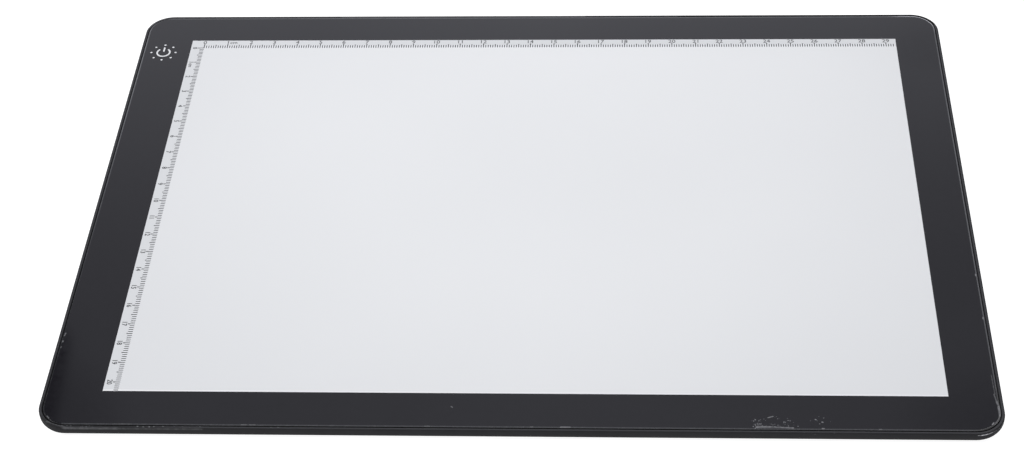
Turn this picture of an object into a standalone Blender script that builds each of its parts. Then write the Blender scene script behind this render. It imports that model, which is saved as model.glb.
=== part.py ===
"""LED tracing pad: a thin A4 light box with a moulded tray, a taped-in acrylic panel and an edge-lit
light guide.

Metres. The origin is on the surface that the pad rests on, under the middle of its outline. +X runs along
the long side to the right as the pad is used, +Y away from the user, +Z up. The touch key is at the far
left corner.
"""

import math

import bmesh
import bpy
from mathutils import Vector

# Outline of the pad, seen from above
BODY_LENGTH = 0.3400
BODY_DEPTH = 0.2455
CORNER_RADIUS = 0.0110

# Back cover: the tray's floor, rolled lower edge, lip round the panel and ledge under it
FLOOR_THICKNESS = 0.0009
BOTTOM_ROUND = 0.0026
LIP_WIDTH = 0.0012
LIP_ROUND = 0.0005
LIP_INNER_ROUND = 0.0004
LIP_INNER_DROP = 0.0002
LEDGE_WIDTH = 0.0025

# Front panel and the window printed on it. The panel is taped in a little nearer to the far lip
PANEL_THICKNESS = 0.0010
PANEL_GAP = 0.0003
PANEL_OFF_CENTRE = 0.0002
PANEL_CHAMFER = 0.0005
PANEL_CHAMFER_DEPTH = 0.00015
WINDOW_LENGTH = 0.3000
WINDOW_DEPTH = 0.2095
LEFT_BORDER = 0.0213
FAR_BORDER = 0.0177

# Optical stack, and the air that stays between one sheet and the next. The sheets reach past the window by
# GUIDE_MARGIN on the left and far sides, and end at a distance of their own from the outline on the others
FILM_GAP = 0.0001
REFLECTOR_THICKNESS = 0.0002
GUIDE_THICKNESS = 0.0018
DIFFUSER_THICKNESS = 0.0002
GUIDE_MARGIN = 0.0040
GUIDE_FROM_RIGHT = 0.0147
GUIDE_FROM_NEAR = 0.0143
SHEET_CORNER = 0.0010
SIDE_GAP = 0.0003

# Pegs on the tray that hold the sheets by notches in their short edges
PEG_RADIUS = 0.0012
PEG_BELOW_GUIDE_TOP = 0.0003
PEG_PLACE_SHARES = (0.12, 0.88)

# Light strips along the two long edges
STRIP_WIDTH = 0.0045
STRIP_THICKNESS = 0.0006
STRIP_SHORTER = 0.0020
LED_COUNT = 12
LED_LENGTH = 0.0040
LED_DEPTH = 0.0010
LED_BELOW_GUIDE_TOP = 0.0002
LED_WINDOW_RIM = 0.00025
LED_WINDOW_DEPTH = 0.0001

# Ribs on the tray's floor
RIB_WIDTH = 0.0008
RIB_HEIGHT = 0.0015
STRIP_RIB_LENGTH = 0.0360
STRIP_RIB_PLACE_SHARES = (0.12, 0.37, 0.63, 0.88)
SIDE_RIB_LENGTH = 0.0300
SIDE_RIB_PLACE_SHARES = (0.25, 0.50, 0.75)
JOIN_DEPTH = 0.0003

# Touch key: its place is measured from the pad's left and far edges
TOUCH_FROM_LEFT = 0.0101
TOUCH_FROM_FAR = 0.0260
TOUCH_PAD_SIZE = 0.0080
TOUCH_PAD_ROUND = 0.0002

# Control board, its tape and the two posts that hold it
BOARD_LENGTH = 0.0480
BOARD_WIDTH = 0.0113
BOARD_THICKNESS = 0.0008
BOARD_PAST_TOUCH = 0.0085
BOARD_TAPE_THICKNESS = 0.0002
BOARD_TAPE_INSET = 0.0006
POST_RADIUS = 0.0008
POST_HOLE_GAP = 0.0003
POST_FROM_SIDE = 0.0018
POST_FROM_END = 0.0022
POST_ABOVE_BOARD = 0.0006

# Micro-USB inlet in the left wall
USB_FROM_TOUCH = 0.0260
USB_WIDTH = 0.0075
USB_DEPTH = 0.0055
USB_WALL = 0.00025
USB_SLANT = 0.0008
USB_SET_BACK = 0.0005
USB_BLOCK_DEPTH = 0.0016
USB_BLOCK_GAP = 0.0001
USB_TONGUE_WIDTH = 0.0037
USB_TONGUE_THICKNESS = 0.0006
USB_TONGUE_SET_BACK = 0.0008
USB_CONTACT_COUNT = 5
USB_CONTACT_PITCH = 0.00065
USB_CONTACT_WIDTH = 0.0003
USB_CONTACT_HEIGHT = 0.0002
USB_PIN_REACH = 0.0011
USB_WING_LENGTH = 0.0012
USB_WING_THICKNESS = 0.0003
PORT_CLEARANCE = 0.0002
PORT_ROUND = 0.0006

# Small parts soldered to the control board
CHIP_LENGTH = 0.0029
CHIP_WIDTH = 0.0016
CHIP_SPAN = 0.0028
CHIP_HEADROOM = 0.0002
CHIP_BEVEL = 0.00015
CHIP_LEG_WIDTH = 0.0004
CHIP_LEG_THICKNESS = 0.00015
TOUCH_CHIP_LEG_SHARES = ((0.17, 0.50, 0.83), (0.17, 0.50, 0.83))
DRIVER_LEG_SHARES = ((0.17, 0.83), (0.50,))
CAPACITOR_SIZE = (0.0012, 0.0020, 0.0009)
RESISTOR_SIZE = (0.0008, 0.0016, 0.0005)
END_CAP_SHARE = 0.22
TOUCH_CHIP_FROM_TOUCH = 0.0080
DRIVER_FROM_TOUCH = 0.0175
CAPACITOR_FROM_TOUCH = (0.0125, 0.0270)
RESISTOR_FROM_TOUCH = (0.0215, 0.0310)

# Leads from the control board to the strips
LEAD_RADIUS = 0.0004
LEAD_PITCH = 0.0014
LEAD_LAP = 0.0026
LEAD_EDGE_CLEARANCE = 0.0006
LEAD_STEP_DOWN = 0.0022
LEAD_BEND = 0.0024
LEAD_FROM_RIB = 0.0037
LEAD_STEPS = 5
CLIP_LENGTH = 0.0030
CLIP_PLACE_SHARES = (0.25, 0.50, 0.75)

# Double-sided tape between the ledge and the panel
TAPE_THICKNESS = 0.0002
TAPE_MARGIN = 0.0001
TAPE_END_GAP = 0.0010

# Feet in shallow pockets under the tray
FOOT_RADIUS = 0.0050
FOOT_THICKNESS = 0.0007
FOOT_BEVEL = 0.0002
FOOT_POCKET_DEPTH = 0.0003
FOOT_SIDE_GAP = 0.0003
FOOT_FROM_EDGE = 0.0220

# How finely round shapes are cut, and how far every cutter overruns what it cuts
CORNER_STEPS = 12
EDGE_STEPS = 5
LIP_STEPS = 3
ROUND_SIDES = 32
POST_SIDES = 16
OVERRUN = 0.0005
SMOOTH_BELOW = math.radians(35)
PANEL_SMOOTH_BELOW = math.radians(12)

# Heights of the layers, from the resting surface up
underside_z = FOOT_THICKNESS + FILM_GAP - FOOT_POCKET_DEPTH
floor_z = underside_z + FLOOR_THICKNESS
reflector_z = floor_z + FILM_GAP
guide_z = reflector_z + REFLECTOR_THICKNESS + FILM_GAP
guide_top_z = guide_z + GUIDE_THICKNESS
diffuser_z = guide_top_z + FILM_GAP
panel_z = diffuser_z + DIFFUSER_THICKNESS + FILM_GAP
top_z = panel_z + PANEL_THICKNESS
ledge_z = panel_z - TAPE_THICKNESS - 2 * FILM_GAP
ceiling_z = panel_z - FILM_GAP
strip_z = floor_z + FILM_GAP
led_z = strip_z + STRIP_THICKNESS + FILM_GAP
board_z = floor_z + 2 * FILM_GAP + BOARD_TAPE_THICKNESS
board_top_z = board_z + BOARD_THICKNESS + FILM_GAP

# Plan of the printed window, the sheets that fill the tray and the space beside them
half_length = BODY_LENGTH / 2
half_depth = BODY_DEPTH / 2
window_x = LEFT_BORDER + WINDOW_LENGTH / 2 - half_length
window_y = half_depth - FAR_BORDER - WINDOW_DEPTH / 2
sheet_from_left = LEFT_BORDER - GUIDE_MARGIN
sheet_from_far = FAR_BORDER - GUIDE_MARGIN
sheet_length = BODY_LENGTH - sheet_from_left - GUIDE_FROM_RIGHT
sheet_depth = BODY_DEPTH - sheet_from_far - GUIDE_FROM_NEAR
sheet_x = (sheet_from_left - GUIDE_FROM_RIGHT) / 2
sheet_y = (GUIDE_FROM_NEAR - sheet_from_far) / 2
cavity_inset = LIP_WIDTH + LEDGE_WIDTH
cavity_left = cavity_inset - half_length
panel_inset = LIP_WIDTH + PANEL_GAP
strip_length = sheet_length - 2 * (GUIDE_MARGIN + STRIP_SHORTER)
strip_y = sheet_depth / 2 + SIDE_GAP + STRIP_WIDTH / 2
side_rib_x = sheet_length / 2 + SIDE_GAP + RIB_WIDTH / 2

# Places on the control board
touch_x = TOUCH_FROM_LEFT - half_length
touch_y = half_depth - TOUCH_FROM_FAR
board_far_y = touch_y + BOARD_PAST_TOUCH
board_near_y = board_far_y - BOARD_LENGTH
board_y = (board_far_y + board_near_y) / 2
board_left = cavity_left + SIDE_GAP
board_x = board_left + BOARD_WIDTH / 2
usb_y = touch_y - USB_FROM_TOUCH
usb_front = USB_SET_BACK - half_length
usb_back = usb_front + USB_DEPTH
usb_z = floor_z + FILM_GAP
usb_height = ceiling_z - usb_z


def quarter_angles(steps):
    """Angles from zero to a right angle, both ends included."""
    return [math.pi / 2 * step / steps for step in range(steps + 1)]


def make_material(name, colour, roughness, metallic=0.0):
    """A plain Principled material in one colour."""
    material = bpy.data.materials.new(name)
    material.use_nodes = True
    shader = material.node_tree.nodes["Principled BSDF"]
    shader.inputs["Base Color"].default_value = (*colour, 1.0)
    shader.inputs["Roughness"].default_value = roughness
    shader.inputs["Metallic"].default_value = metallic
    material.diffuse_color = (*colour, 1.0)
    return material


def add_object(name, mesh, place):
    """Links a mesh to the scene at its place under the pad's own frame."""
    data = bpy.data.meshes.new(name)
    bmesh.ops.recalc_face_normals(mesh, faces=mesh.faces)
    mesh.to_mesh(data)
    mesh.free()
    data.shade_smooth()
    data.set_sharp_from_angle(angle=SMOOTH_BELOW)
    new = bpy.data.objects.new(name, data)
    new.location = place
    new.parent = pad_frame
    bpy.context.scene.collection.objects.link(new)
    return new


def add_piece(name, mesh, place, *materials):
    """A visible piece of the pad, which becomes a node of its own."""
    piece = add_object(name, mesh, place)
    for material in materials:
        piece.data.materials.append(material)
    return piece


def add_tool(name, mesh, place=(0, 0, 0)):
    """A helper that only cuts or joins, and isn't a piece of the pad."""
    tool = add_object(name, mesh, place)
    tool.hide_render = True
    tool.display_type = "WIRE"
    return tool


def combine(piece, tool, operation):
    """Joins a helper to a piece, or cuts it away."""
    modifier = piece.modifiers.new(tool.name, "BOOLEAN")
    modifier.operation = operation
    modifier.solver = "EXACT"
    modifier.object = tool


def settle_shading():
    """Applies each piece's joins and cuts, then shades its round faces smooth and keeps its edges crisp."""
    bpy.context.view_layer.update()
    graph = bpy.context.evaluated_depsgraph_get()
    combined = [piece for piece in bpy.data.objects if piece.type == "MESH" and piece.modifiers]
    settled = [bpy.data.meshes.new_from_object(piece.evaluated_get(graph)) for piece in combined]
    for piece, data in zip(combined, settled):
        data.name = piece.name
        data.shade_smooth()
        data.set_sharp_from_angle(angle=SMOOTH_BELOW)
        piece.modifiers.clear()
        piece.data = data


def rounded_outline(length, depth, radius):
    """Points round a rectangle with round corners, anticlockwise from above."""
    points = []
    for quarter, (side_x, side_y) in enumerate(((1, 1), (-1, 1), (-1, -1), (1, -1))):
        for angle in quarter_angles(CORNER_STEPS):
            turned = angle + quarter * math.pi / 2
            x = side_x * (length / 2 - radius) + radius * math.cos(turned)
            y = side_y * (depth / 2 - radius) + radius * math.sin(turned)
            points.append((x, y))
    return points


def sweep_section(length, depth, radius, section):
    """Rings of a rounded rectangle, one for each (inset, height) of the section, skinned and capped."""
    mesh = bmesh.new()
    rings = []
    for inset, height in section:
        outline = rounded_outline(length - 2 * inset, depth - 2 * inset, radius - inset)
        rings.append([mesh.verts.new((x, y, height)) for x, y in outline])
    for lower, upper in zip(rings, rings[1:]):
        for index, vertex in enumerate(lower):
            after = (index + 1) % len(lower)
            mesh.faces.new((vertex, lower[after], upper[after], upper[index]))
    mesh.faces.new(reversed(rings[0]))
    mesh.faces.new(rings[-1])
    return mesh


def add_box(mesh, low, high):
    """Adds a closed box between two corners and returns its vertices."""
    middle = (Vector(low) + Vector(high)) / 2
    made = bmesh.ops.create_cube(mesh, size=1)["verts"]
    bmesh.ops.scale(mesh, verts=made, vec=Vector(high) - Vector(low))
    bmesh.ops.translate(mesh, verts=made, vec=middle)
    return made


def add_disc(mesh, radius, low_z, high_z, place=(0, 0), sides=POST_SIDES):
    """Adds a closed upright cylinder and returns its vertices."""
    made = bmesh.ops.create_cone(
        mesh, cap_ends=True, segments=sides, radius1=radius, radius2=radius, depth=high_z - low_z
    )["verts"]
    bmesh.ops.translate(mesh, verts=made, vec=(*place, (low_z + high_z) / 2))
    return made


def box_mesh(size_x, size_y, size_z):
    """A box standing on its own origin, centred in plan."""
    mesh = bmesh.new()
    add_box(mesh, (-size_x / 2, -size_y / 2, 0), (size_x / 2, size_y / 2, size_z))
    return mesh


def bevel_all(mesh, width):
    """Takes the sharpness off every edge of a mesh."""
    bmesh.ops.bevel(mesh, geom=mesh.edges[:], offset=width, affect="EDGES")


def sheet_mesh(thickness):
    """One flat sheet of the optical stack."""
    return sweep_section(sheet_length, sheet_depth, SHEET_CORNER, [(0, 0), (0, thickness)])


def prism_along_x(outline, start, end):
    """A closed prism between two values of X, from an outline in Y and Z."""
    mesh = bmesh.new()
    front = [mesh.verts.new((start, y, z)) for y, z in outline]
    back = [mesh.verts.new((end, y, z)) for y, z in outline]
    for index in range(len(outline)):
        after = (index + 1) % len(outline)
        mesh.faces.new((front[index], front[after], back[after], back[index]))
    mesh.faces.new(front)
    mesh.faces.new(back)
    return mesh


def tray_section():
    """The tray's wall, from the underside round the rolled edge, over the lip and down to its floor."""
    rolled = [
        (BOTTOM_ROUND * (1 - math.sin(turn)), underside_z + BOTTOM_ROUND * (1 - math.cos(turn)))
        for turn in quarter_angles(EDGE_STEPS)
    ]
    outer = [
        (LIP_ROUND * (1 - math.cos(turn)), top_z - LIP_ROUND * (1 - math.sin(turn)))
        for turn in quarter_angles(LIP_STEPS)
    ]
    inner = [
        (LIP_WIDTH - LIP_INNER_ROUND * (1 - math.sin(turn)), top_z - LIP_INNER_DROP * (1 - math.cos(turn)))
        for turn in quarter_angles(LIP_STEPS)
    ]
    ledge = [(LIP_WIDTH, ledge_z), (cavity_inset, ledge_z), (cavity_inset, floor_z)]
    return rolled + outer + inner + ledge


def tray_ribs():
    """The ribs, pegs, posts and clips that stand on the tray's floor, as one joining helper."""
    mesh = bmesh.new()
    root_z = floor_z - JOIN_DEPTH
    rib_top_z = floor_z + RIB_HEIGHT
    for side in (-1, 1):
        rib_y = sheet_y + side * (strip_y + STRIP_WIDTH / 2 + SIDE_GAP + RIB_WIDTH / 2)
        for share in STRIP_RIB_PLACE_SHARES:
            rib_x = sheet_x + (share - 0.5) * strip_length
            low = (rib_x - STRIP_RIB_LENGTH / 2, rib_y - RIB_WIDTH / 2, root_z)
            high = (rib_x + STRIP_RIB_LENGTH / 2, rib_y + RIB_WIDTH / 2, rib_top_z)
            add_box(mesh, low, high)
        rib_x = sheet_x + side * side_rib_x
        for share in SIDE_RIB_PLACE_SHARES:
            rib_y = sheet_y + (share - 0.5) * sheet_depth
            low = (rib_x - RIB_WIDTH / 2, rib_y - SIDE_RIB_LENGTH / 2, root_z)
            high = (rib_x + RIB_WIDTH / 2, rib_y + SIDE_RIB_LENGTH / 2, rib_top_z)
            add_box(mesh, low, high)
    for place in peg_places():
        add_disc(mesh, PEG_RADIUS, root_z, guide_top_z - PEG_BELOW_GUIDE_TOP, place)
    for place in post_places():
        add_disc(mesh, POST_RADIUS, root_z, board_top_z + POST_ABOVE_BOARD, place)
    for share in CLIP_PLACE_SHARES:
        clip_y = board_near_y + share * (sheet_y - strip_y - board_near_y)
        for side in (-1, 1):
            from_middle = LEAD_PITCH / 2 + LEAD_RADIUS + SIDE_GAP + RIB_WIDTH / 2
            clip_x = lead_run_x() - LEAD_PITCH / 2 + side * from_middle
            low = (clip_x - RIB_WIDTH / 2, clip_y - CLIP_LENGTH / 2, root_z)
            high = (clip_x + RIB_WIDTH / 2, clip_y + CLIP_LENGTH / 2, rib_top_z)
            add_box(mesh, low, high)
    return mesh


def peg_places():
    """Plan places of the pegs, on the short edges of the sheets."""
    return [
        (sheet_x + side * sheet_length / 2, sheet_y + (share - 0.5) * sheet_depth)
        for side in (-1, 1)
        for share in PEG_PLACE_SHARES
    ]


def post_places():
    """Plan places of the two posts that hold the control board."""
    x = board_left + POST_FROM_SIDE
    return [(x, board_near_y + POST_FROM_END), (x, board_far_y - POST_FROM_END)]


def foot_places():
    """Plan places of the four feet."""
    x = half_length - FOOT_FROM_EDGE
    y = half_depth - FOOT_FROM_EDGE
    return [(-x, -y), (x, -y), (x, y), (-x, y)]


def lead_run_x():
    """Where the inner lead of each pair runs along the left border."""
    return sheet_x - side_rib_x - LEAD_FROM_RIB


def inlet_outline(shrink):
    """The inlet's section: square shoulders above, slanted corners below, all taken in by shrink."""
    half = USB_WIDTH / 2 - shrink
    low = usb_z + shrink
    high = usb_z + usb_height - shrink
    slant = USB_SLANT - shrink * (2 - math.sqrt(2))
    left = [(-half, high), (-half, low + slant), (slant - half, low)]
    right = [(half - slant, low), (half, low + slant), (half, high)]
    return left + right


def make_back_cover(black_plastic):
    """The moulded tray, with its inlet opening, foot pockets and everything that stands on its floor."""
    mesh = sweep_section(BODY_LENGTH, BODY_DEPTH, CORNER_RADIUS, tray_section())
    cover = add_piece("back_cover", mesh, (0, 0, 0), black_plastic)
    combine(cover, add_tool("cover_ribs", tray_ribs()), "UNION")

    pockets = bmesh.new()
    for place in foot_places():
        pocket_radius = FOOT_RADIUS + FOOT_SIDE_GAP
        add_disc(pockets, pocket_radius, -OVERRUN, underside_z + FOOT_POCKET_DEPTH, place, ROUND_SIDES)
    combine(cover, add_tool("foot_pockets", pockets), "DIFFERENCE")

    port_width = USB_WIDTH + 2 * PORT_CLEARANCE
    port_height = usb_height + 2 * PORT_CLEARANCE
    outline = [
        (y, usb_z + usb_height / 2 + z) for y, z in rounded_outline(port_width, port_height, PORT_ROUND)
    ]
    port = prism_along_x(outline, -half_length - OVERRUN, cavity_left + OVERRUN)
    combine(cover, add_tool("inlet_opening", port, (0, usb_y, 0)), "DIFFERENCE")


def flat_top_faces(mesh):
    """The faces of a panel that lie in its flat top."""
    above_chamfer = PANEL_THICKNESS - PANEL_CHAMFER_DEPTH / 2
    return [face for face in mesh.faces if all(vertex.co.z > above_chamfer for vertex in face.verts)]


def make_front_panel(black_print, white_window):
    """The acrylic sheet: a chamfered plate, whose flat top is cut along the edges of the printed window."""
    length = BODY_LENGTH - 2 * panel_inset
    depth = BODY_DEPTH - 2 * panel_inset
    section = [(0, 0), (0, PANEL_THICKNESS - PANEL_CHAMFER_DEPTH), (PANEL_CHAMFER, PANEL_THICKNESS)]
    mesh = sweep_section(length, depth, CORNER_RADIUS - panel_inset, section)
    half_size = Vector((WINDOW_LENGTH / 2, WINDOW_DEPTH / 2, 0))
    middle = Vector((window_x, window_y - PANEL_OFF_CENTRE, PANEL_THICKNESS))
    for direction, reach in (((1, 0, 0), half_size.x), ((0, 1, 0), half_size.y)):
        for side in (-1, 1):
            flat = flat_top_faces(mesh)
            edges = {edge for face in flat for edge in face.edges}
            vertices = {vertex for face in flat for vertex in face.verts}
            on_edge = middle + side * reach * Vector(direction)
            geometry = [*vertices, *edges, *flat]
            bmesh.ops.bisect_plane(mesh, geom=geometry, plane_co=on_edge, plane_no=direction)
    for face in flat_top_faces(mesh):
        offset = face.calc_center_median() - middle
        inside = abs(offset.x) < half_size.x and abs(offset.y) < half_size.y
        face.material_index = int(inside)
    panel = add_piece("front_panel", mesh, (0, PANEL_OFF_CENTRE, panel_z), black_print, white_window)
    panel.data.set_sharp_from_angle(angle=PANEL_SMOOTH_BELOW)


def make_optical_stack(clear_acrylic, white_film):
    """Diffuser, light guide and reflector. Notches in the two lower sheets fit round the tray's pegs."""
    notches = bmesh.new()
    for place in peg_places():
        add_disc(notches, PEG_RADIUS + SIDE_GAP, floor_z, guide_top_z + OVERRUN, place, ROUND_SIDES)
    notch_tool = add_tool("sheet_notches", notches)
    place = (sheet_x, sheet_y)
    add_piece("diffuser_sheet", sheet_mesh(DIFFUSER_THICKNESS), (*place, diffuser_z), white_film)
    guide = add_piece("light_guide", sheet_mesh(GUIDE_THICKNESS), (*place, guide_z), clear_acrylic)
    reflector_mesh = sheet_mesh(REFLECTOR_THICKNESS)
    reflector = add_piece("reflector_sheet", reflector_mesh, (*place, reflector_z), white_film)
    combine(guide, notch_tool, "DIFFERENCE")
    combine(reflector, notch_tool, "DIFFERENCE")


def make_strip(name, side, strip_white, led_white, phosphor):
    """One light strip: a narrow board and its side-emitting lamps, which face the light guide's edge."""
    place_y = sheet_y + side * strip_y
    mesh = box_mesh(strip_length, STRIP_WIDTH, STRIP_THICKNESS)
    add_piece("led_strip_" + name, mesh, (sheet_x, place_y, strip_z), strip_white)
    led_height = guide_top_z - LED_BELOW_GUIDE_TOP - led_z
    led_y = place_y - side * (STRIP_WIDTH / 2 - LED_DEPTH / 2)
    for number in range(LED_COUNT):
        lamp = box_mesh(LED_LENGTH, LED_DEPTH, led_height)
        front = min(lamp.faces, key=lambda face: side * face.calc_center_median().y)
        bmesh.ops.inset_individual(
            lamp, faces=[front], thickness=LED_WINDOW_RIM, depth=-LED_WINDOW_DEPTH
        )
        front.material_index = 1
        led_x = sheet_x + ((number + 0.5) / LED_COUNT - 0.5) * strip_length
        add_piece(f"led_{name}_{number + 1:02d}", lamp, (led_x, led_y, led_z), led_white, phosphor)


def make_control_board(green_board, white_tape):
    """The board and the tape under it, both with holes for the tray's posts and a notch for the inlet."""
    holes = bmesh.new()
    for place in post_places():
        add_disc(holes, POST_RADIUS + POST_HOLE_GAP, floor_z, board_top_z + OVERRUN, place, ROUND_SIDES)
    hole_tool = add_tool("board_holes", holes)
    notch = bmesh.new()
    notch_half = USB_WIDTH / 2 + SIDE_GAP
    low = (board_left - OVERRUN, usb_y - notch_half, floor_z)
    high = (usb_back + SIDE_GAP, usb_y + notch_half, board_top_z + OVERRUN)
    add_box(notch, low, high)
    notch_tool = add_tool("board_notch", notch)

    board = box_mesh(BOARD_WIDTH, BOARD_LENGTH, BOARD_THICKNESS)
    tape_width = BOARD_WIDTH - 2 * BOARD_TAPE_INSET
    tape_length = BOARD_LENGTH - 2 * BOARD_TAPE_INSET
    tape = box_mesh(tape_width, tape_length, BOARD_TAPE_THICKNESS)
    pieces = (
        add_piece("control_board", board, (board_x, board_y, board_z), green_board),
        add_piece("board_tape", tape, (board_x, board_y, floor_z + FILM_GAP), white_tape),
    )
    for piece in pieces:
        combine(piece, hole_tool, "DIFFERENCE")
        combine(piece, notch_tool, "DIFFERENCE")


def make_usb_shell(steel):
    """The inlet's steel shell: a thin tube with slanted lower corners and two wings soldered to the board."""
    mesh = bmesh.new()
    rings = []
    for shrink, x in ((0, usb_front), (0, usb_back), (USB_WALL, usb_back), (USB_WALL, usb_front)):
        rings.append([mesh.verts.new((x, y, z)) for y, z in inlet_outline(shrink)])
    for ring, other in zip(rings, rings[1:] + rings[:1]):
        for index in range(len(ring)):
            after = (index + 1) % len(ring)
            mesh.faces.new((ring[index], ring[after], other[after], other[index]))
    shell = add_piece("usb_shell", mesh, (0, usb_y, 0), steel)

    wings = bmesh.new()
    for side in (-1, 1):
        inner = side * (USB_WIDTH / 2 - USB_WALL / 2)
        outer = side * (USB_WIDTH / 2 + USB_WING_LENGTH)
        low = (board_left + SIDE_GAP, min(inner, outer), board_top_z)
        high = (usb_back - SIDE_GAP, max(inner, outer), board_top_z + USB_WING_THICKNESS)
        add_box(wings, low, high)
    combine(shell, add_tool("solder_wings", wings, (0, usb_y, 0)), "UNION")


def make_usb_tongue(black_plastic):
    """The insulator inside the shell: a back block, the tongue and the contacts with their solder pins."""
    block_front = usb_back - USB_BLOCK_DEPTH
    mesh = prism_along_x(inlet_outline(USB_WALL + USB_BLOCK_GAP), block_front, usb_back)
    insulator = add_piece("usb_tongue", mesh, (0, usb_y, 0), black_plastic)

    tongue_z = usb_z + usb_height / 2
    join_x = block_front + USB_BLOCK_DEPTH / 2
    tongue = bmesh.new()
    low = (usb_front + USB_TONGUE_SET_BACK, -USB_TONGUE_WIDTH / 2, tongue_z)
    high = (join_x, USB_TONGUE_WIDTH / 2, tongue_z + USB_TONGUE_THICKNESS)
    add_box(tongue, low, high)
    combine(insulator, add_tool("tongue_plate", tongue, (0, usb_y, 0)), "UNION")

    contacts = bmesh.new()
    for number in range(USB_CONTACT_COUNT):
        y = (number - (USB_CONTACT_COUNT - 1) / 2) * USB_CONTACT_PITCH
        left = y - USB_CONTACT_WIDTH / 2
        right = y + USB_CONTACT_WIDTH / 2
        contact_x = usb_front + USB_TONGUE_SET_BACK + USB_CONTACT_WIDTH
        embedded = tongue_z + USB_TONGUE_THICKNESS / 2
        low = (contact_x, left, tongue_z - USB_CONTACT_HEIGHT)
        add_box(contacts, low, (block_front - SIDE_GAP, right, embedded))
        pin_top = board_top_z + USB_CONTACT_HEIGHT
        add_box(contacts, (join_x, left, board_top_z), (usb_back + USB_PIN_REACH, right, pin_top))
    combine(insulator, add_tool("contact_row", contacts, (0, usb_y, 0)), "UNION")


def make_touch_pad(foam):
    """The conductive foam block that couples the touch symbol's place on the panel to the board."""
    mesh = box_mesh(TOUCH_PAD_SIZE, TOUCH_PAD_SIZE, ceiling_z - board_top_z)
    bevel_all(mesh, TOUCH_PAD_ROUND)
    add_piece("touch_pad", mesh, (touch_x, touch_y, board_top_z), foam)


def make_chip(name, from_touch, leg_shares, epoxy):
    """A small moulded chip. leg_shares gives, for each long side, where its legs stand along the body."""
    height = ceiling_z - board_top_z - CHIP_HEADROOM
    mesh = box_mesh(CHIP_WIDTH, CHIP_LENGTH, height)
    bevel_all(mesh, CHIP_BEVEL)
    place = (touch_x, touch_y - from_touch, board_top_z)
    chip = add_piece(name, mesh, place, epoxy)
    legs = bmesh.new()
    for side, shares in zip((-1, 1), leg_shares):
        for share in shares:
            y = (share - 0.5) * CHIP_LENGTH
            inner = side * (CHIP_WIDTH / 2 - CHIP_BEVEL - CHIP_LEG_THICKNESS)
            outer = side * CHIP_SPAN / 2
            low = (min(inner, outer), y - CHIP_LEG_WIDTH / 2, CHIP_BEVEL)
            high = (max(inner, outer), y + CHIP_LEG_WIDTH / 2, CHIP_BEVEL + CHIP_LEG_THICKNESS)
            add_box(legs, low, high)
    combine(chip, add_tool(name + "_legs", legs, place), "UNION")


def make_end_capped(name, from_touch, size, body, metal):
    """A chip capacitor or resistor: a block with a metal cap at each end."""
    width, length, height = size
    mesh = box_mesh(width, length, height)
    cap_edge = length * (0.5 - END_CAP_SHARE)
    for y in (-cap_edge, cap_edge):
        everything = mesh.verts[:] + mesh.edges[:] + mesh.faces[:]
        bmesh.ops.bisect_plane(mesh, geom=everything, plane_co=(0, y, 0), plane_no=(0, 1, 0))
    for face in mesh.faces:
        face.material_index = int(abs(face.calc_center_median().y) > cap_edge)
    add_piece(name, mesh, (touch_x, touch_y - from_touch, board_top_z), body, metal)


def make_panel_tapes(white_tape):
    """Strips of double-sided tape on the ledge, with a gap on the left where the inlet crosses it."""
    width = LEDGE_WIDTH - PANEL_GAP - PANEL_OFF_CENTRE - 2 * TAPE_MARGIN
    middle = panel_inset + PANEL_OFF_CENTRE + TAPE_MARGIN + width / 2
    reach_x = half_length - CORNER_RADIUS
    reach_y = half_depth - CORNER_RADIUS
    port_half = USB_WIDTH / 2 + PORT_CLEARANCE + TAPE_END_GAP
    left_x = middle - half_length
    runs = {
        "far": ((-reach_x, half_depth - middle), (reach_x, half_depth - middle)),
        "near": ((-reach_x, middle - half_depth), (reach_x, middle - half_depth)),
        "right": ((half_length - middle, -reach_y), (half_length - middle, reach_y)),
        "left_1": ((left_x, -reach_y), (left_x, usb_y - port_half)),
        "left_2": ((left_x, usb_y + port_half), (left_x, reach_y)),
    }
    for name, ((start_x, start_y), (end_x, end_y)) in runs.items():
        size_x = max(end_x - start_x, width)
        size_y = max(end_y - start_y, width)
        place = ((start_x + end_x) / 2, (start_y + end_y) / 2, ledge_z + FILM_GAP)
        add_piece("panel_tape_" + name, box_mesh(size_x, size_y, TAPE_THICKNESS), place, white_tape)


def eased_run(start, end):
    """Points after start, up to end, whose height changes gently at both ends of the run."""
    steps = LEAD_STEPS if start.z != end.z else 1
    route = []
    for step in range(1, steps + 1):
        share = step / steps
        point = start.lerp(end, share)
        point.z = start.z + (end.z - start.z) * share * share * (3 - 2 * share)
        route.append(point)
    return route


def eased_corner(start, end):
    """Points after start, up to end, round a level quarter turn from a run along Y into a run along X."""
    route = []
    for turn in quarter_angles(LEAD_STEPS)[1:]:
        x = start.x + (end.x - start.x) * (1 - math.cos(turn))
        y = start.y + (end.y - start.y) * math.sin(turn)
        route.append(Vector((x, y, start.z)))
    return route


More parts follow.
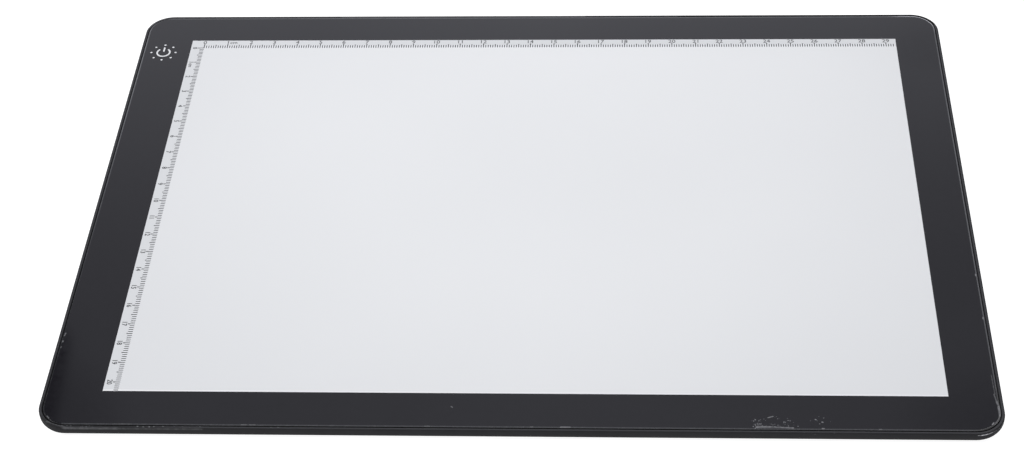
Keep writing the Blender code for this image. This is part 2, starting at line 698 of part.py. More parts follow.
def make_lead(name, side, lane, insulation):
    """One lead: off the board's end, down to the floor, round the corner and up onto the strip's left end."""
    run_x = lead_run_x() - lane * LEAD_PITCH
    land_y = sheet_y + side * (strip_y + (lane - 0.5) * LEAD_PITCH)
    board_end = board_far_y if side > 0 else board_near_y
    strip_end = sheet_x - strip_length / 2
    board_level = board_top_z + LEAD_RADIUS
    floor_level = floor_z + FILM_GAP + LEAD_RADIUS
    strip_level = led_z + LEAD_RADIUS
    step_end = LEAD_EDGE_CLEARANCE + LEAD_STEP_DOWN
    on_board = Vector((run_x, board_end - side * LEAD_LAP, board_level))
    off_board = Vector((run_x, board_end + side * LEAD_EDGE_CLEARANCE, board_level))
    on_floor = Vector((run_x, board_end + side * step_end, floor_level))
    corner_start = Vector((run_x, land_y - side * LEAD_BEND, floor_level))
    corner_end = Vector((run_x + LEAD_BEND, land_y, floor_level))
    before_strip = Vector((strip_end - step_end, land_y, floor_level))
    at_strip = Vector((strip_end - LEAD_EDGE_CLEARANCE, land_y, strip_level))
    on_strip = Vector((strip_end + LEAD_LAP, land_y, strip_level))
    route = [on_board, *eased_run(on_board, off_board), *eased_run(off_board, on_floor)]
    route += [*eased_run(on_floor, corner_start), *eased_corner(corner_start, corner_end)]
    route += [*eased_run(corner_end, before_strip), *eased_run(before_strip, at_strip), on_strip]

    data = bpy.data.curves.new(name, "CURVE")
    data.dimensions = "3D"
    data.bevel_depth = LEAD_RADIUS
    data.bevel_resolution = 2
    data.use_fill_caps = True
    spline = data.splines.new("POLY")
    spline.points.add(len(route) - 1)
    for point, place in zip(spline.points, route):
        point.co = (*place, 1)
    data.materials.append(insulation)
    lead = bpy.data.objects.new(name, data)
    lead.parent = pad_frame
    bpy.context.scene.collection.objects.link(lead)


def make_feet(rubber):
    """Thin rubber discs with a softened lower edge, set in the tray's pockets."""
    for number, place in enumerate(foot_places(), start=1):
        mesh = bmesh.new()
        add_disc(mesh, FOOT_RADIUS, 0, FOOT_THICKNESS, sides=ROUND_SIDES)
        lower = [edge for edge in mesh.edges if all(vertex.co.z < FOOT_BEVEL for vertex in edge.verts)]
        bmesh.ops.bevel(mesh, geom=lower, offset=FOOT_BEVEL, segments=2, affect="EDGES")
        add_piece(f"foot_{number}", mesh, (*place, 0), rubber)


for old in list(bpy.data.objects):
    bpy.data.objects.remove(old)

pad_frame = bpy.data.objects.new("tracing_pad", None)
bpy.context.scene.collection.objects.link(pad_frame)

moulded_black = make_material("moulded_black", (0.016, 0.016, 0.017), 0.45)
panel_black = make_material("panel_black", (0.022, 0.022, 0.024), 0.18)
panel_white = make_material("panel_white", (0.78, 0.79, 0.80), 0.25)
acrylic_clear = make_material("acrylic_clear", (0.82, 0.88, 0.90), 0.10)
film_white = make_material("film_white", (0.85, 0.85, 0.84), 0.55)
board_green = make_material("board_green", (0.02, 0.16, 0.06), 0.40)
board_white = make_material("board_white", (0.75, 0.76, 0.74), 0.40)
lamp_body = make_material("lamp_body", (0.80, 0.78, 0.70), 0.50)
lamp_phosphor = make_material("lamp_phosphor", (0.85, 0.65, 0.10), 0.60)
tape_white = make_material("tape_white", (0.80, 0.80, 0.78), 0.70)
tape_grey = make_material("tape_grey", (0.45, 0.45, 0.46), 0.75)
plated_steel = make_material("plated_steel", (0.62, 0.63, 0.64), 0.28, 1.0)
insulator_black = make_material("insulator_black", (0.012, 0.012, 0.012), 0.50)
foam_grey = make_material("foam_grey", (0.12, 0.12, 0.13), 0.85)
epoxy_black = make_material("epoxy_black", (0.018, 0.018, 0.020), 0.55)
ceramic_tan = make_material("ceramic_tan", (0.42, 0.28, 0.15), 0.50)
resistor_black = make_material("resistor_black", (0.03, 0.03, 0.035), 0.40)
solder_tin = make_material("solder_tin", (0.70, 0.70, 0.69), 0.35, 1.0)
insulation_red = make_material("insulation_red", (0.50, 0.02, 0.02), 0.45)
insulation_black = make_material("insulation_black", (0.015, 0.015, 0.015), 0.45)
foot_rubber = make_material("foot_rubber", (0.03, 0.03, 0.03), 0.80)

make_back_cover(moulded_black)
make_front_panel(panel_black, panel_white)
make_optical_stack(acrylic_clear, film_white)
for strip_name, strip_side in (("far", 1), ("near", -1)):
    make_strip(strip_name, strip_side, board_white, lamp_body, lamp_phosphor)
    make_lead("lead_plus_" + strip_name, strip_side, 0, insulation_red)
    make_lead("lead_minus_" + strip_name, strip_side, 1, insulation_black)
make_control_board(board_green, tape_grey)
make_usb_shell(plated_steel)
make_usb_tongue(insulator_black)
make_touch_pad(foam_grey)
make_chip("touch_chip", TOUCH_CHIP_FROM_TOUCH, TOUCH_CHIP_LEG_SHARES, epoxy_black)
make_chip("driver_transistor", DRIVER_FROM_TOUCH, DRIVER_LEG_SHARES, epoxy_black)
for index, from_touch in enumerate(CAPACITOR_FROM_TOUCH, start=1):
    make_end_capped(f"capacitor_{index}", from_touch, CAPACITOR_SIZE, ceramic_tan, solder_tin)
for index, from_touch in enumerate(RESISTOR_FROM_TOUCH, start=1):
    make_end_capped(f"resistor_{index}", from_touch, RESISTOR_SIZE, resistor_black, solder_tin)
make_panel_tapes(tape_white)
make_feet(foot_rubber)
settle_shading()
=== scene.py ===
import math

import bmesh
import bpy
import numpy as np
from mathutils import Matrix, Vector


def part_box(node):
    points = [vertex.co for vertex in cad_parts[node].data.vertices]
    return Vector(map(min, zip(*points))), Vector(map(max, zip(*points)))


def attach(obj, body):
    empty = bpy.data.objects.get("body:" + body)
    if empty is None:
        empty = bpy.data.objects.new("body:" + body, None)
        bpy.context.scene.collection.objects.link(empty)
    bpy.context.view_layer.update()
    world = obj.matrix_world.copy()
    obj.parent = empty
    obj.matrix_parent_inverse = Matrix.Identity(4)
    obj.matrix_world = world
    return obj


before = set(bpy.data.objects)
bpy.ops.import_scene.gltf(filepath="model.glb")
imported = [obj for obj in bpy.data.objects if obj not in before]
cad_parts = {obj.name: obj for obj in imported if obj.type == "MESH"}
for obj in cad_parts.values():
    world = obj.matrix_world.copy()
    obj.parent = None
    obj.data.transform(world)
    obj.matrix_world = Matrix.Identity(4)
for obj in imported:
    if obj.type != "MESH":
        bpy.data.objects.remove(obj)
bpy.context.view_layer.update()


# Back cover: a tray moulded in black polystyrene, with a rolled lower edge and a lip round the panel.
# All the other pieces lie in it. Its fine moulded grain carries painted highlights on the lip, and painted
# shade on its low edge and short sides.

def add_node(finish, kind, inputs, output=0, **settings):
    """Adds a node to a finish. Each input is a value, or the output of a node made before."""
    made = finish.node_tree.nodes.new("ShaderNode" + kind)
    for setting, value in settings.items():
        setattr(made, setting, value)
    for socket, value in inputs.items():
        if isinstance(value, bpy.types.NodeSocket):
            finish.node_tree.links.new(value, made.inputs[socket])
        else:
            made.inputs[socket].default_value = value
    return made.outputs[output]


def place_on(finish):
    """The place on the pad, in metres, in the pad's own frame."""
    return add_node(finish, "TexCoord", {}, output="Object")


def work_out(finish, operation, *values):
    """One step of arithmetic on numbers or node outputs."""
    return add_node(finish, "Math", dict(enumerate(values)), operation=operation)


def ramp(finish, value, reach, result, soft=False):
    """Goes from the first result to the second while value goes through its reach, and holds outside it."""
    limits = {0: value, 1: reach[0], 2: reach[1], 3: result[0], 4: result[1]}
    return add_node(finish, "MapRange", limits, interpolation_type="SMOOTHSTEP" if soft else "LINEAR")


def between(finish, share, low, high):
    """The tone low times 1 - share, plus high times share. Each tone is three numbers or a node output."""
    low, high = (tone if isinstance(tone, bpy.types.NodeSocket) else (*tone, 1.0) for tone in (low, high))
    return add_node(finish, "Mix", {0: share, 6: low, 7: high}, output=2, data_type="RGBA")


def grained(name, tones, roughness, grain, relief, shine=0.5, metallic=0.0):
    """A finish whose tone, roughness and relief follow one fine grain. Its tone also drifts over 20 grains.
    tones and roughness run from low to high. grain is a grain's size and relief its height, in metres."""
    finish = bpy.data.materials.new(name)
    finish.use_nodes = True
    shader = finish.node_tree.nodes["Principled BSDF"]
    shader.inputs["Specular IOR Level"].default_value = shine
    shader.inputs["Metallic"].default_value = metallic
    place = place_on(finish)
    fine = add_node(finish, "TexNoise", {"Vector": place, "Scale": 1 / grain, "Detail": 3.0})
    slow = add_node(finish, "TexNoise", {"Vector": place, "Scale": 0.05 / grain, "Detail": 2.0})
    share = ramp(finish, work_out(finish, "ADD", fine, slow), (0.7, 1.3), (0.0, 1.0))
    rough = ramp(finish, fine, (0.3, 0.7), roughness)
    bump = add_node(finish, "Bump", {"Height": fine, "Distance": relief, "Strength": 1.0})
    finish.node_tree.links.new(between(finish, share, *tones), shader.inputs["Base Color"])
    finish.node_tree.links.new(rough, shader.inputs["Roughness"])
    finish.node_tree.links.new(bump, shader.inputs["Normal"])
    return finish


def lay_over(finish, mask, tone=None, rough=None):
    """Lays another tone or roughness over a finish: what was there times 1 - mask, plus it times mask."""
    shader = finish.node_tree.nodes["Principled BSDF"]
    if tone is not None:
        below = shader.inputs["Base Color"].links[0].from_socket
        finish.node_tree.links.new(between(finish, mask, below, tone), shader.inputs["Base Color"])
    if rough is not None:
        below = shader.inputs["Roughness"].links[0].from_socket
        mixed = add_node(finish, "Mix", {0: mask, 2: below, 3: rough}, data_type="FLOAT")
        finish.node_tree.links.new(mixed, shader.inputs["Roughness"])


def inside(finish, low, high):
    """A mask of 1 in the box from low to high, in metres. A side given as None isn't limited."""
    middle = [0.0 if a is None else (a + b) / 2 for a, b in zip(low, high)]
    half = [1.0 if a is None else (b - a) / 2 for a, b in zip(low, high)]
    offset = add_node(finish, "VectorMath", {0: place_on(finish), 1: middle}, operation="SUBTRACT")
    away = add_node(finish, "VectorMath", {0: offset}, operation="ABSOLUTE")
    parts = add_node(finish, "SeparateXYZ", {0: away}).node.outputs
    in_x, in_y, in_z = (work_out(finish, "LESS_THAN", part, reach) for part, reach in zip(parts, half))
    return work_out(finish, "MULTIPLY", work_out(finish, "MULTIPLY", in_x, in_y), in_z)


def spot(finish, middle, reach, place=None):
    """A soft mask: 1 up to a quarter of reach from middle, and 0 from reach outwards, along each axis. Both
    are in metres, or in the units of place."""
    offset = add_node(finish, "VectorMath", {0: place or place_on(finish), 1: middle}, operation="SUBTRACT")
    scaled = add_node(finish, "VectorMath", {0: offset, 1: reach}, operation="DIVIDE")
    away = add_node(finish, "VectorMath", {0: scaled}, output="Value", operation="LENGTH")
    return ramp(finish, away, (0.25, 1.0), (1.0, 0.0), soft=True)


def specks(finish, size, level):
    """A mask of specks of about this size, where noise is above a level. A lower level gives more of them."""
    pattern = {"Vector": place_on(finish), "Scale": 1 / size, "Detail": 4.0, "Roughness": 0.7}
    return ramp(finish, add_node(finish, "TexNoise", pattern), (level, level + 0.05), (0.0, 1.0))


def grains(finish, pitch, near, share):
    """A mask of round grains, one in a cell of this pitch: 1 up to 0.22 of the pitch from its middle, and 0
    from 0.42 of it. Only a share of the cells has one, and that share falls with the mask near."""
    pattern = {"Vector": place_on(finish), "Scale": 1 / pitch, "Randomness": 1.0}
    cells = add_node(finish, "TexVoronoi", pattern).node.outputs
    grain = ramp(finish, cells["Distance"], (0.22, 0.42), (1.0, 0.0))
    chance = add_node(finish, "SeparateColor", {0: cells["Color"]})
    taken = work_out(finish, "LESS_THAN", chance, work_out(finish, "MULTIPLY", near, share))
    return work_out(finish, "MULTIPLY", grain, taken)


def scratch(finish, start, end, width, unevenness=0.0):
    """A mask of 1 on the line from start to end, which fades to 0 at half the width. A point's nearest place
    on the line is its dot product with the line's direction, kept from 0 to the length. Unevenness, from 0
    to 1, is how far noise breaks the line up."""
    length = math.dist(start, end)
    heading = [(b - a) / length for a, b in zip(start, end)]
    offset = add_node(finish, "VectorMath", {0: place_on(finish), 1: start}, operation="SUBTRACT")
    along = add_node(finish, "VectorMath", {0: offset, 1: heading}, output="Value", operation="DOT_PRODUCT")
    kept = ramp(finish, along, (0.0, length), (0.0, length))
    nearest = add_node(finish, "VectorMath", {0: heading, "Scale": kept}, operation="SCALE")
    away = add_node(finish, "VectorMath", {0: offset, 1: nearest}, output="Value", operation="DISTANCE")
    line = ramp(finish, away, (width / 5, width / 2), (1.0, 0.0))
    if not unevenness:
        return line
    noise = add_node(finish, "TexNoise", {"Vector": place_on(finish), "Scale": 0.7 / width, "Detail": 2.0})
    broken = ramp(finish, noise, (0.5 - 0.1 * unevenness, 0.5 + 0.1 * unevenness), (1 - unevenness, 1.0))
    return work_out(finish, "MULTIPLY", line, broken)


def finish_nodes(finish, *names):
    """Gives CAD nodes their finish."""
    for name in names:
        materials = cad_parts[name].data.materials
        materials.clear()
        materials.append(finish)


# A mask that takes in a face reaches this far past it.
SKIN = 0.0001
tray_low, tray_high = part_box("back_cover")
lip_top = tray_high[2]
moulded_black = grained(
    "moulded_black", tones=((0.0190, 0.0190, 0.0203), (0.0240, 0.0240, 0.0255)),
    roughness=(0.70, 0.85), grain=0.00035, relief=0.000006, shine=0.12,
)

# The wall is matt, with painted shade in a darker tone, up to its low edge and where it rolls over at the two
# short sides.
LOW_EDGE = 0.0016
SIDE_ROLL = 0.0006
PAST_SIDE = 0.001
matt_shaded_edges = (
    ((None, None, tray_low[2] + SKIN), (None, None, LOW_EDGE)),
    ((tray_low[0] - PAST_SIDE, None, None), (tray_low[0] + SIDE_ROLL, None, None)),
    ((tray_high[0] - SIDE_ROLL, None, None), (tray_high[0] + PAST_SIDE, None, None)),
)
for low, high in matt_shaded_edges:
    lay_over(moulded_black, inside(moulded_black, low, high), tone=(0.0060, 0.0060, 0.0066), rough=0.98)

# The lip's crown has a painted highlight: a paler, glossier tone all round. Its far side has painted
# highlights and painted shade along its length: corners, tone, roughness.
LIP_CROWN = 0.00003
painted_lip_highlight = inside(moulded_black, (None, None, lip_top - LIP_CROWN), (None, None, lip_top + SKIN))
lay_over(moulded_black, painted_lip_highlight, tone=(0.042, 0.042, 0.045), rough=0.35)
far_lip_highlight_and_shade = (
    ((-0.1700, 0.12125), (-0.0860, 0.12235), 0.045, 0.35),
    ((-0.0860, 0.12125), (0.0200, 0.12235), 0.085, 0.35),
    ((-0.1700, 0.11500), (-0.1600, 0.12125), 0.070, 0.35),
    ((0.0200, 0.11500), (0.0600, 0.12270), 0.030, 0.60),
    ((0.0600, 0.11500), (0.1700, 0.12275), 0.007, 0.85),
)
for low, high, tone, rough in far_lip_highlight_and_shade:
    stretch = inside(moulded_black, (*low, lip_top - SKIN), (*high, lip_top + SKIN))
    lay_over(moulded_black, stretch, tone=(tone, tone, 1.06 * tone), rough=rough)
# Painted shade: a darker tone on the lip's near side towards its left end.
painted_lip_shade = spot(moulded_black, (-0.1560, -0.1215, lip_top), (0.0500, 0.0060, 0.0020))
lay_over(moulded_black, painted_lip_shade, tone=(0.018, 0.018, 0.019))

# Small chips along the lip's near and left sides: middle, reach, pitch, share, tone.
CHIP_REACH_DOWN = 0.0010
lip_wear = (
    ((-0.1518, -0.1221), (0.0060, 0.0010), 0.0006, 0.35, 0.070),
    ((0.1010, -0.1222), (0.0200, 0.0010), 0.0006, 0.20, 0.070),
    ((-0.1692, -0.0800), (0.0010, 0.0070), 0.0006, 0.30, 0.070),
    ((-0.1230, -0.1217), (0.0210, 0.0008), 0.0011, 0.90, 0.170),
    ((-0.1520, -0.1217), (0.0100, 0.0008), 0.0010, 0.80, 0.120),
    ((-0.0825, -0.1217), (0.0050, 0.0008), 0.0010, 0.90, 0.150),
)
for middle, reach, pitch, share, tone in lip_wear:
    near_by = spot(moulded_black, (*middle, lip_top), (*reach, CHIP_REACH_DOWN))
    chips = grains(moulded_black, pitch, near_by, share)
    lay_over(moulded_black, chips, tone=(tone, tone, 1.04 * tone), rough=0.6)

# Painted highlight lines on the lip's edge, and below it at the near right corner: start, end, width,
# unevenness, tone.
LIP_EDGE_DROP, LIP_WALL_DROP = 0.0004, 0.00062
lip_edge, lip_wall = lip_top - LIP_EDGE_DROP, lip_top - LIP_WALL_DROP
lip_edge_highlights = (
    ((-0.1655, -0.1198, lip_edge), (-0.1585, -0.1226, lip_edge), 0.0013, 0.3, 0.095),
    ((-0.1585, -0.1226, lip_edge), (-0.1400, -0.1227, lip_edge), 0.0012, 0.3, 0.085),
    ((-0.1400, -0.1227, lip_edge), (-0.1100, -0.1227, lip_edge), 0.0010, 0.4, 0.055),
    ((0.15957, -0.12261, lip_wall), (0.16088, -0.12247, lip_wall), 0.00040, 0.0, 0.45),
    ((0.16088, -0.12247, lip_wall), (0.16272, -0.12197, lip_wall), 0.00055, 0.0, 0.62),
    ((0.16272, -0.12197, lip_wall), (0.16444, -0.12117, lip_wall), 0.00050, 0.1, 0.52),
    ((0.16444, -0.12117, lip_wall), (0.16599, -0.12008, lip_wall), 0.00040, 0.2, 0.25),
)
for start, end, width, unevenness, tone in lip_edge_highlights:
    edge_highlight = scratch(moulded_black, start, end, width, unevenness)
    lay_over(moulded_black, edge_highlight, tone=(tone, tone, 1.04 * tone), rough=0.5)
lay_over(moulded_black, specks(moulded_black, size=0.0009, level=0.76), tone=(0.05, 0.05, 0.05))
finish_nodes(moulded_black, "back_cover")


# Feet: four thin discs of soft black rubber, stuck in pockets under the tray.
# They are matt, with a little dust on the face that the pad stands on.

foot_rubber = grained(
    "foot_rubber", tones=((0.020, 0.020, 0.020), (0.034, 0.034, 0.033)),
    roughness=(0.72, 0.88), grain=0.0003, relief=0.00001,
)
foot_face = inside(foot_rubber, (None, None, -SKIN), (None, None, SKIN))
foot_dust = work_out(foot_rubber, "MULTIPLY", foot_face, specks(foot_rubber, size=0.0008, level=0.60))
lay_over(foot_rubber, foot_dust, tone=(0.10, 0.098, 0.092), rough=0.95)
finish_nodes(foot_rubber, "foot_1", "foot_2", "foot_3", "foot_4")


# Optical stack: a white reflector film, a clear acrylic light guide and a white diffuser film.
# They lie loose on each other on the tray's floor. The guide's underside has a grid of printed dots.

film_white = grained(
    "film_white", tones=((0.80, 0.80, 0.79), (0.86, 0.86, 0.85)),
    roughness=(0.45, 0.60), grain=0.0006, relief=0.000002,
)
finish_nodes(film_white, "reflector_sheet", "diffuser_sheet")

guide_acrylic = grained(
    "guide_acrylic", tones=((0.80, 0.86, 0.87), (0.85, 0.90, 0.91)),
    roughness=(0.05, 0.09), grain=0.004, relief=0.000001,
)
DOT_PITCH = 0.0015
DOT_SHARE = 0.30
grid = {"Vector": place_on(guide_acrylic), "Scale": 1 / DOT_PITCH, "Randomness": 0.0}
guide_dots = work_out(guide_acrylic, "LESS_THAN", add_node(guide_acrylic, "TexVoronoi", grid), DOT_SHARE)
lay_over(guide_acrylic, guide_dots, tone=(0.90, 0.90, 0.89), rough=0.65)
finish_nodes(guide_acrylic, "light_guide")


# Light strips: two narrow white circuit boards along the guide's long edges, each with a row of lamps on it.
# Copper tracks show as pale bands under the white mask. The lamps shine sideways into the guide, and each is
# cream plastic with a yellow phosphor face.

TRACK_WIDTH = 0.0009
TRACK_FROM_MIDDLE = 1.3 * TRACK_WIDTH
strip_board = grained(
    "strip_board", tones=((0.70, 0.71, 0.69), (0.77, 0.78, 0.76)),
    roughness=(0.32, 0.44), grain=0.0008, relief=0.000003,
)
for strip in ("led_strip_far", "led_strip_near"):
    low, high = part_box(strip)
    for side in (-1, 1):
        track_y = (low[1] + high[1]) / 2 + side * TRACK_FROM_MIDDLE
        near_y, far_y = track_y - TRACK_WIDTH / 2, track_y + TRACK_WIDTH / 2
        track = inside(strip_board, (None, near_y, None), (None, far_y, None))
        lay_over(strip_board, track, tone=(0.80, 0.79, 0.72), rough=0.28)
finish_nodes(strip_board, "led_strip_far", "led_strip_near")

# A lamp's front faces the guide: its low side in Y in the far row, and its high side in the near row. One
# finish serves a row, because the place along it is wrapped to one lamp's pitch.
LAMP_RIM = 0.00025
LAMP_SINK = 0.00008
for row, front_side, inward in (("led_far", 0, 1), ("led_near", 1, -1)):
    lamp_plastic = grained(
        "lamp_plastic_" + row, tones=((0.74, 0.71, 0.62), (0.82, 0.79, 0.70)),
        roughness=(0.4, 0.55), grain=0.0002, relief=0.000004,
    )
    names = sorted(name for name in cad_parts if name.startswith(row + "_"))
    low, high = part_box(names[0])
    lamp_x, lamp_length = (low[0] + high[0]) / 2, high[0] - low[0]
    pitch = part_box(names[1])[0][0] - low[0]
    along = add_node(lamp_plastic, "SeparateXYZ", {0: place_on(lamp_plastic)})
    shifted = work_out(lamp_plastic, "ADD", along, pitch / 2 - lamp_x)
    wrapped = work_out(lamp_plastic, "WRAP", shifted, pitch, 0.0)
    from_middle = work_out(lamp_plastic, "ABSOLUTE", work_out(lamp_plastic, "SUBTRACT", wrapped, pitch / 2))
    in_length = work_out(lamp_plastic, "LESS_THAN", from_middle, lamp_length / 2 - LAMP_RIM)
    front_y = (low, high)[front_side][1]
    near_y, far_y = sorted((front_y + inward * LAMP_SINK, front_y + inward * 2 * LAMP_SINK))
    sunk = inside(lamp_plastic, (None, near_y, low[2] + LAMP_RIM), (None, far_y, high[2] - LAMP_RIM))
    phosphor = work_out(lamp_plastic, "MULTIPLY", in_length, sunk)
    lay_over(lamp_plastic, phosphor, tone=(0.84, 0.62, 0.08), rough=0.7)
    finish_nodes(lamp_plastic, *names)


# Control board: green glass-epoxy with copper tracks and bare pads, held on two posts and a piece of tape.
# It carries a touch chip, a driver transistor, two capacitors and two resistors, and the block of foam that
# presses against the panel under the touch key.

TRACK_GAP = 0.00016
TRACK_LENGTH = 0.0046
TRACK_PITCH = 0.0013
PAD_EDGE = 0.0002
board_green = grained(
    "board_green", tones=((0.012, 0.115, 0.042), (0.018, 0.150, 0.058)),
    roughness=(0.25, 0.38), grain=0.0006, relief=0.000003,
)
courses = {
    "Vector": place_on(board_green), "Scale": 1.0,
    "Mortar Size": TRACK_GAP, "Brick Width": TRACK_LENGTH, "Row Height": TRACK_PITCH,
}
tracks = add_node(board_green, "TexBrick", courses, output="Fac")
lay_over(board_green, tracks, tone=(0.040, 0.240, 0.095), rough=0.30)
for part in ("touch_chip", "driver_transistor", "capacitor_1", "capacitor_2", "resistor_1", "resistor_2"):
    low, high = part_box(part)
    pads_low = (low[0] - PAD_EDGE, low[1] - PAD_EDGE, None)
    pads_high = (high[0] + PAD_EDGE, high[1] + PAD_EDGE, None)
    lay_over(board_green, inside(board_green, pads_low, pads_high), tone=(0.62, 0.60, 0.55), rough=0.35)
finish_nodes(board_green, "control_board")

board_tape = grained(
    "board_tape", tones=((0.42, 0.42, 0.43), (0.50, 0.50, 0.51)),
    roughness=(0.7, 0.85), grain=0.0005, relief=0.00001,
)
finish_nodes(board_tape, "board_tape")

touch_foam = grained(
    "touch_foam", tones=((0.07, 0.07, 0.075), (0.15, 0.15, 0.16)),
    roughness=(0.82, 0.95), grain=0.0004, relief=0.00006,
)
finish_nodes(touch_foam, "touch_pad")

CHIP_BODY = 0.0016
chip_epoxy = grained(
    "chip_epoxy", tones=((0.014, 0.014, 0.015), (0.024, 0.024, 0.025)),
    roughness=(0.5, 0.62), grain=0.0002, relief=0.000004,
)
low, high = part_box("touch_chip")
chip_x = (low[0] + high[0]) / 2
for side in (-1, 1):
    left_x, right_x = sorted((chip_x + side * CHIP_BODY / 2, chip_x + side * CHIP_BODY))
    legs = inside(chip_epoxy, (left_x, None, None), (right_x, None, None))
    lay_over(chip_epoxy, legs, tone=(0.58, 0.58, 0.57), rough=0.3)
finish_nodes(chip_epoxy, "touch_chip", "driver_transistor")

END_CAP_SHARE = 0.22
ceramic_tones = {
    "capacitor_1": ((0.36, 0.23, 0.12), (0.46, 0.31, 0.17)),
    "capacitor_2": ((0.34, 0.22, 0.12), (0.44, 0.30, 0.17)),
    "resistor_1": ((0.02, 0.02, 0.025), (0.04, 0.04, 0.045)),
    "resistor_2": ((0.02, 0.02, 0.025), (0.04, 0.04, 0.045)),
}
for part, tones in ceramic_tones.items():
    ceramic = grained(part + "_ceramic", tones, roughness=(0.35, 0.5), grain=0.0002, relief=0.000003)
    low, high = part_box(part)
    cap = (high[1] - low[1]) * END_CAP_SHARE
    for end_y in (low[1], high[1]):
        tinned = inside(ceramic, (None, end_y - cap, None), (None, end_y + cap, None))
        lay_over(ceramic, tinned, tone=(0.66, 0.65, 0.63), rough=0.3)
    finish_nodes(ceramic, part)


# Leads: a red and a black PVC lead from the board to the left end of each strip, in the tray's left border.
# Moulded clips hold the run to the near strip between them. PVC is a little uneven in gloss.

lead_tones = {
    ("plus", "red"): ((0.42, 0.012, 0.012), (0.54, 0.022, 0.020)),
    ("minus", "black"): ((0.012, 0.012, 0.012), (0.022, 0.022, 0.022)),
}
for (pole, colour), tones in lead_tones.items():
    pvc = grained("pvc_" + colour, tones, roughness=(0.36, 0.5), grain=0.0006, relief=0.000006)
    finish_nodes(pvc, f"lead_{pole}_far", f"lead_{pole}_near")


# Power inlet: a folded, plated steel shell round a black insulator, soldered to the board at the left wall.
# The steel is brushed along its length, and gold contacts run under the insulator's tongue.

# How fine the brushing is along X, Y and Z, in strokes a metre
BRUSHING = (200.0, 6000.0, 6000.0)
plated_steel = grained(
    "plated_steel", tones=((0.52, 0.53, 0.54), (0.66, 0.67, 0.68)),
    roughness=(0.22, 0.38), grain=0.0004, relief=0.000004, metallic=1.0,
)
stretched = add_node(plated_steel, "Mapping", {0: place_on(plated_steel), 3: BRUSHING})
brushed = add_node(plated_steel, "TexNoise", {"Vector": stretched, "Scale": 1.0, "Detail": 2.0})
lay_over(plated_steel, brushed, tone=(0.48, 0.49, 0.50), rough=0.42)
finish_nodes(plated_steel, "usb_shell")

CONTACT_LENGTH = 0.0030
CONTACT_BELOW_MIDDLE = (0.0003, 0.00003)
insulator = grained(
    "insulator", tones=((0.010, 0.010, 0.010), (0.020, 0.020, 0.020)),
    roughness=(0.42, 0.55), grain=0.0003, relief=0.000004,
)
contact_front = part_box("usb_tongue")[0][0]
shell_low, shell_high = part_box("usb_shell")
shell_middle = (shell_low[2] + shell_high[2]) / 2
contact_low, contact_high = (shell_middle - below for below in CONTACT_BELOW_MIDDLE)
contacts_end = (contact_front + CONTACT_LENGTH, None, contact_high)
contacts = inside(insulator, (contact_front, None, contact_low), contacts_end)
lay_over(insulator, contacts, tone=(0.70, 0.48, 0.16), rough=0.28)
finish_nodes(insulator, "usb_tongue")


# Panel tapes: strips of white double-sided tape on the tray's ledge, which hold the panel by its rim.
# The tissue in the tape shows as a faint mottle.

panel_tape = grained(
    "panel_tape", tones=((0.72, 0.72, 0.70), (0.82, 0.82, 0.80)),
    roughness=(0.6, 0.78), grain=0.0007, relief=0.00001,
)
finish_nodes(panel_tape, *(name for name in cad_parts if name.startswith("panel_tape_")))


# Front panel: a glossy acrylic sheet with a chamfered rim, printed black round a milky white window.
# A lighter band for the ruler lies in the window along its far and left sides. The panel is taped into the
# tray, and its rim and near border are scratched by use and carry painted highlights and painted shade.
# The window's white has a painted pool of light near its middle.

WINDOW_X, WINDOW_Y = 0.00143, 0.0002
WINDOW_LENGTH, WINDOW_DEPTH = 0.29975, 0.2097
RULER_ZERO = (-0.142885, 0.0998)
CENTIMETRE, MILLIMETRE = 0.01, 0.001
FAR_TICKS, LEFT_TICKS = 293, 204
PAST_LAST_TICK = 0.0005
TICK_STRIP = 0.0017
PRINT_EDGE = 0.0007
PANEL_CHAMFER_DEPTH = 0.00015
FLAT_DEPTH = 0.00002
panel_low, panel_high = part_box("front_panel")
panel_top = panel_high[2]
window_left, window_right = WINDOW_X - WINDOW_LENGTH / 2, WINDOW_X + WINDOW_LENGTH / 2
window_near, window_far = WINDOW_Y - WINDOW_DEPTH / 2, WINDOW_Y + WINDOW_DEPTH / 2
chamfer_low = panel_top - PANEL_CHAMFER_DEPTH
flat_low, flat_high = panel_top - FLAT_DEPTH, panel_top + SKIN
panel_acrylic = grained(
    "panel_acrylic", tones=((0.0108, 0.0104, 0.0128), (0.0124, 0.0120, 0.0146)),
    roughness=(0.03, 0.06), grain=0.0022, relief=0.0,
)

# The sawn edge is matt and the chamfer above it a little chipped. The far rim has a painted highlight,
# brightest on its chamfer.
BELOW_PANEL = 0.001
FAR_RIM, FAR_CHAMFER = 0.0009, 0.0005
sawn_edge = inside(panel_acrylic, (None, None, panel_low[2] - BELOW_PANEL), (None, None, chamfer_low))
lay_over(panel_acrylic, sawn_edge, tone=(0.018, 0.018, 0.019), rough=0.7)
chamfer = inside(panel_acrylic, (None, None, chamfer_low), (None, None, flat_low))
chipped = specks(panel_acrylic, size=0.0014, level=0.52)
rim_tone = between(panel_acrylic, chipped, (0.012, 0.012, 0.014), (0.026, 0.026, 0.028))
lay_over(panel_acrylic, chamfer, tone=rim_tone, rough=0.16)
far_rim_highlights = (
    (FAR_RIM, (0.045, 0.0455, 0.048), None),
    (FAR_CHAMFER, (0.110, 0.112, 0.118), 0.3),
)
for width, tone, rough in far_rim_highlights:
    rim_low = (None, panel_high[1] - width, chamfer_low)
    far_rim_highlight = inside(panel_acrylic, rim_low, (None, panel_high[1] + SKIN, flat_high))
    lay_over(panel_acrylic, far_rim_highlight, tone=tone, rough=rough)
